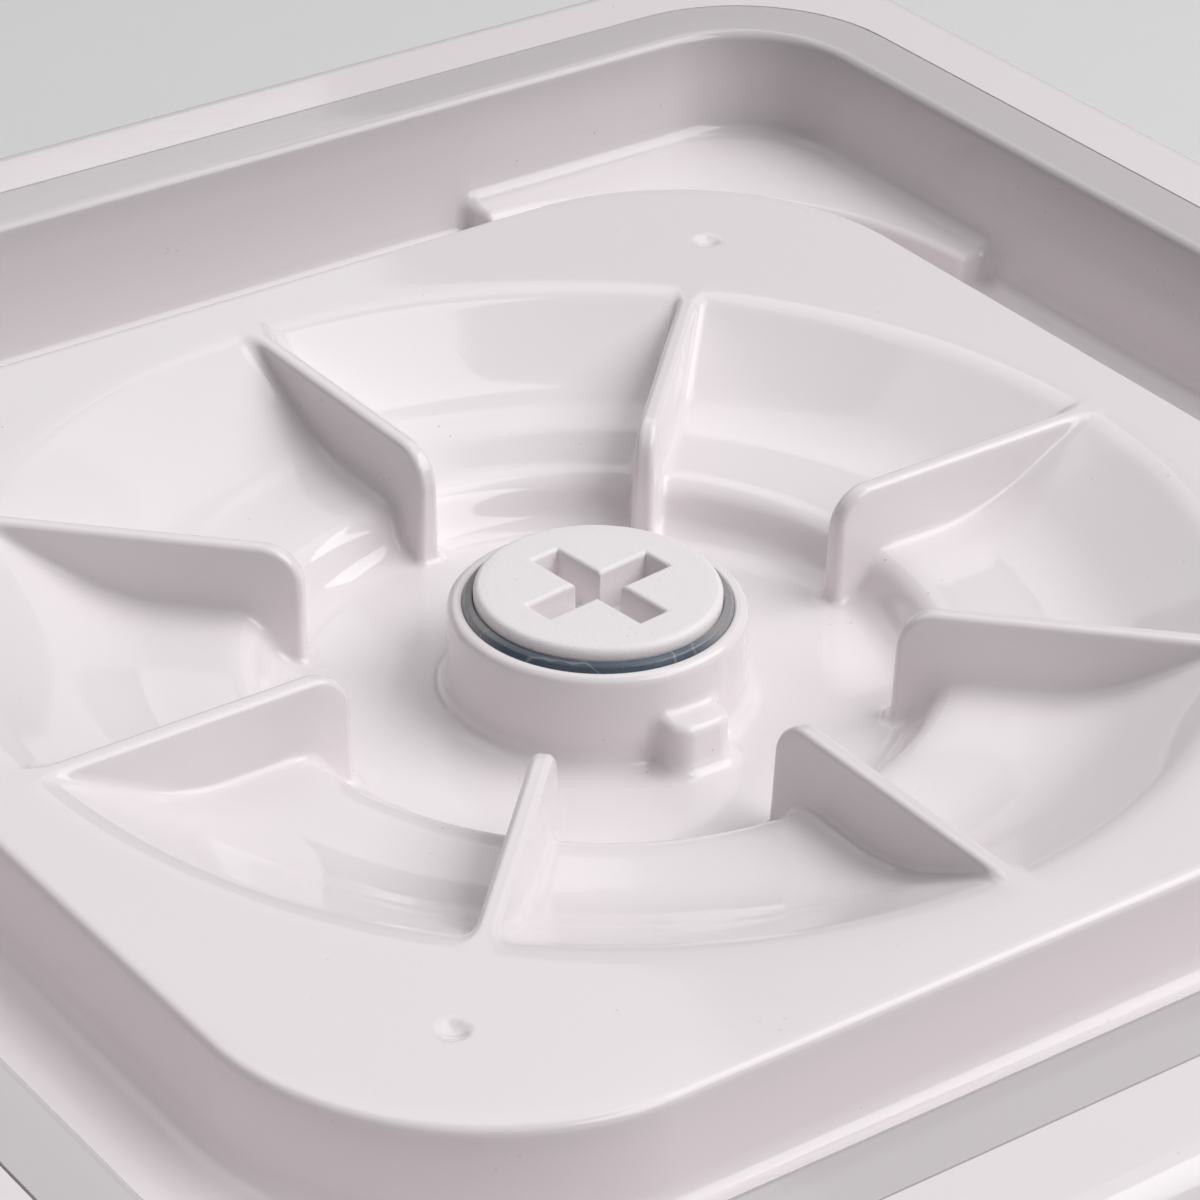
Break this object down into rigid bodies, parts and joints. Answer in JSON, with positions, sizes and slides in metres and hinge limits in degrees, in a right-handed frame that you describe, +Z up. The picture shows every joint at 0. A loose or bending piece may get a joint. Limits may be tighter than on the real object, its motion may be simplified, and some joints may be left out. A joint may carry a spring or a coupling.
{
  "type": "resin wash station",
  "caption": "Resin wash station base: square well with a ribbed round recess, a driven hub with a cross socket, and a slanted panel with knob, display and buttons.",
  "frame": {"origin": "on the table plane, at the bottom centre of the whole unit's box", "axes": "+Z up, front with the control panel towards -Y, +X to the right seen from the front"},
  "size_m": [0.2438, 0.271, 0.1014],
  "materials": {
    "white_shell": "moulded, glossy",
    "white_disc": "fine grain",
    "seal_rubber": "slightly glossy",
    "grey_plastic": "moulded, fine texture",
    "black_rubber": "matt",
    "zinc_steel": "zinc plated",
    "steel": "ground",
    "nickel": "nickel plated",
    "aluminium": "satin",
    "brass": "machined",
    "gear_plastic": "moulded",
    "black_plastic": "fine texture",
    "display_glass": "polished",
    "knob_grey": "satin",
    "button_grey": "satin",
    "light_pipe": "clear, frosted end",
    "board_green": "solder mask",
    "connector_white": "moulded",
    "capacitor_sleeve": "shrink sleeve"
  },
  "bodies": {
    "root": {"top_housing": "white_shell", "well_tray": "white_shell", "deck_plate": "white_shell", "recess_ribs": "white_shell", "base_plate": "grey_plastic", "rubber_feet": "black_rubber", "case_screws": "zinc_steel", "tray_screws": "zinc_steel", "hub_seal": "seal_rubber", "upper_bearing_outer": "steel", "lower_bearing_outer": "steel", "motor_bracket": "aluminium", "bracket_screws": "zinc_steel", "motor_can": "zinc_steel", "motor_screws": "zinc_steel", "motor_end_cap": "black_plastic", "display_window": "display_glass", "display_module": "black_plastic", "panel_board": "board_green", "panel_board_screws": "zinc_steel", "encoder_body": "black_plastic", "encoder_nut": "nickel", "button_switches": "black_plastic", "status_light": "light_pipe", "power_switch_body": "black_plastic", "dc_inlet": "black_plastic", "dc_inlet_pin": "nickel", "dc_inlet_nut": "nickel", "control_board": "board_green", "board_screws": "zinc_steel", "board_connectors": "connector_white", "board_capacitors": "capacitor_sleeve", "driver_heatsink": "aluminium"},
    "drive": {"drive_disc": "white_disc", "disc_magnets": "nickel", "drive_spindle": "steel", "spindle_clip": "steel", "spindle_gear": "gear_plastic", "gear_grub_screw": "steel", "upper_bearing_inner": "steel", "lower_bearing_inner": "steel"},
    "motor_rotor": {"motor_shaft": "steel", "motor_pinion": "brass"},
    "knob_plunger": {"encoder_plunger": "black_plastic"},
    "knob": {"control_knob": "knob_grey", "encoder_shaft": "aluminium"},
    "start_button": {"start_button": "button_grey"},
    "mode_button": {"mode_button": "button_grey"},
    "rocker": {"power_rocker": "black_plastic"}
  },
  "joints": [
    {"name": "drive_spin", "type": "hinge", "parent": "root", "child": "drive", "pos_m": [0, 0.01386, 0.095], "axis": [0, 0, 1], "continuous": true},
    {"name": "motor_spin", "type": "hinge", "parent": "root", "child": "motor_rotor", "pos_m": [0.0375, 0.01386, 0.095], "axis": [0, 0, 1], "continuous": true},
    {"name": "knob_press", "type": "slide", "parent": "root", "child": "knob_plunger", "axis": [0, 0.9063, -0.4226], "range_m": [0, 0.0008], "stiffness_N_per_m": 400, "springref_m": -0.0005},
    {"name": "knob_turn", "type": "hinge", "parent": "knob_plunger", "child": "knob", "pos_m": [0.058, -0.1202, 0.07274], "axis": [0, -0.9063, 0.4226], "continuous": true},
    {"name": "start_button_press", "type": "slide", "parent": "root", "child": "start_button", "axis": [0, 0.9063, -0.4226], "range_m": [0, 0.0012], "stiffness_N_per_m": 300, "springref_m": -0.0005},
    {"name": "mode_button_press", "type": "slide", "parent": "root", "child": "mode_button", "axis": [0, 0.9063, -0.4226], "range_m": [0, 0.0012], "stiffness_N_per_m": 300, "springref_m": -0.0005},
    {"name": "rocker_tilt", "type": "hinge", "parent": "root", "child": "rocker", "pos_m": [-0.015, 0.13073, 0.038], "axis": [1, 0, 0], "range_deg": [0, 18]}
  ],
  "couplings": [
    {"joint": "motor_spin", "follows": "drive_spin", "ratio": -4}
  ]
}
